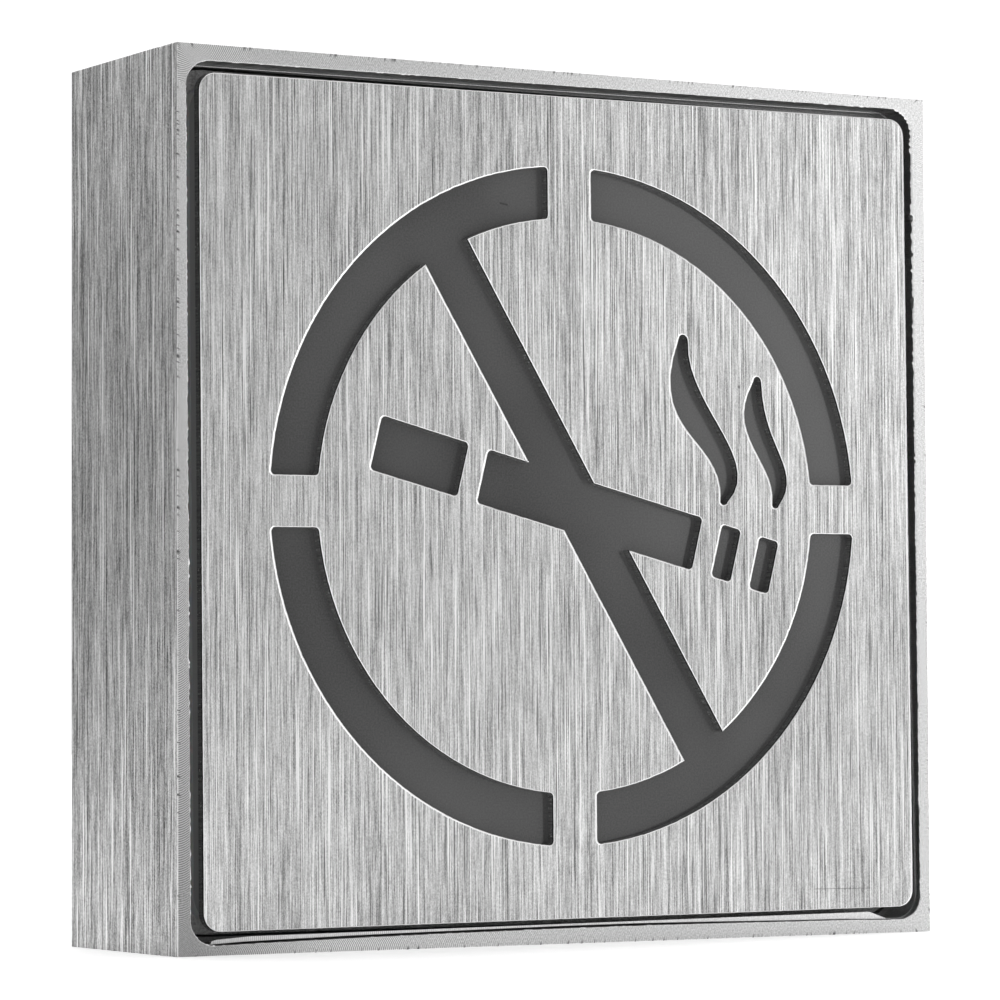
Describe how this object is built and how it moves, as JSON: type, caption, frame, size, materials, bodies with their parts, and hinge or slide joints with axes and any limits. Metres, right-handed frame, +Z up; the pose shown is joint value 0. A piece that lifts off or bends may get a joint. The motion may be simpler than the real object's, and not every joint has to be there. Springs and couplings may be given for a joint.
{
  "type": "illuminated no smoking sign",
  "caption": "Square wall sign, lit from inside: aluminium housing and a brushed face plate with a no smoking pictogram cut through it over a smoked panel.",
  "frame": {"origin": "centre of the back face, in the plane of the wall", "axes": "+X to the right seen from the front, +Y into the wall, +Z up"},
  "size_m": [0.12, 0.033, 0.12],
  "materials": {
    "housing_aluminium": "brushed outside, milled front rim",
    "face_aluminium": "fine brushed",
    "plated_steel": "zinc plated",
    "smoked_acrylic": "glossy",
    "opal_acrylic": "satin",
    "black_foam": "matt",
    "white_paint": "satin",
    "solder_resist": "satin",
    "phosphor": "satin",
    "white_nylon": "moulded",
    "black_rubber": "matt",
    "red_wire": "satin",
    "black_wire": "satin",
    "brown_wire": "satin",
    "blue_wire": "satin",
    "earth_wire": "green and yellow, satin",
    "driver_case": "moulded, fine texture",
    "brass": "turned",
    "tinned_copper": "tinned",
    "plate_aluminium": "mill finish",
    "stainless_steel": "turned"
  },
  "bodies": {
    "root": {"housing_frame": "housing_aluminium", "face_plate": "face_aluminium", "face_studs": "plated_steel", "smoked_panel": "smoked_acrylic", "opal_diffuser": "opal_acrylic", "light_seal": "black_foam", "light_tray": "white_paint", "stud_nuts": "plated_steel", "led_board": "solder_resist", "leds": "phosphor", "led_board_screws": "plated_steel", "board_connector": "white_nylon", "lead_bush": "black_rubber", "led_lead_red": "red_wire", "led_lead_black": "black_wire", "driver": "driver_case", "driver_screws": "plated_steel", "live_lead": "brown_wire", "neutral_lead": "blue_wire", "earth_lead": "earth_wire", "terminal_block": "white_nylon", "terminal_inserts": "brass", "terminal_screws": "plated_steel", "terminal_fixing_screw": "plated_steel", "earth_screw": "brass", "earth_tag": "tinned_copper", "cable_grommet": "black_rubber", "back_plate": "plate_aluminium", "tray_screws": "stainless_steel", "housing_screws": "stainless_steel"}
  },
  "joints": []
}
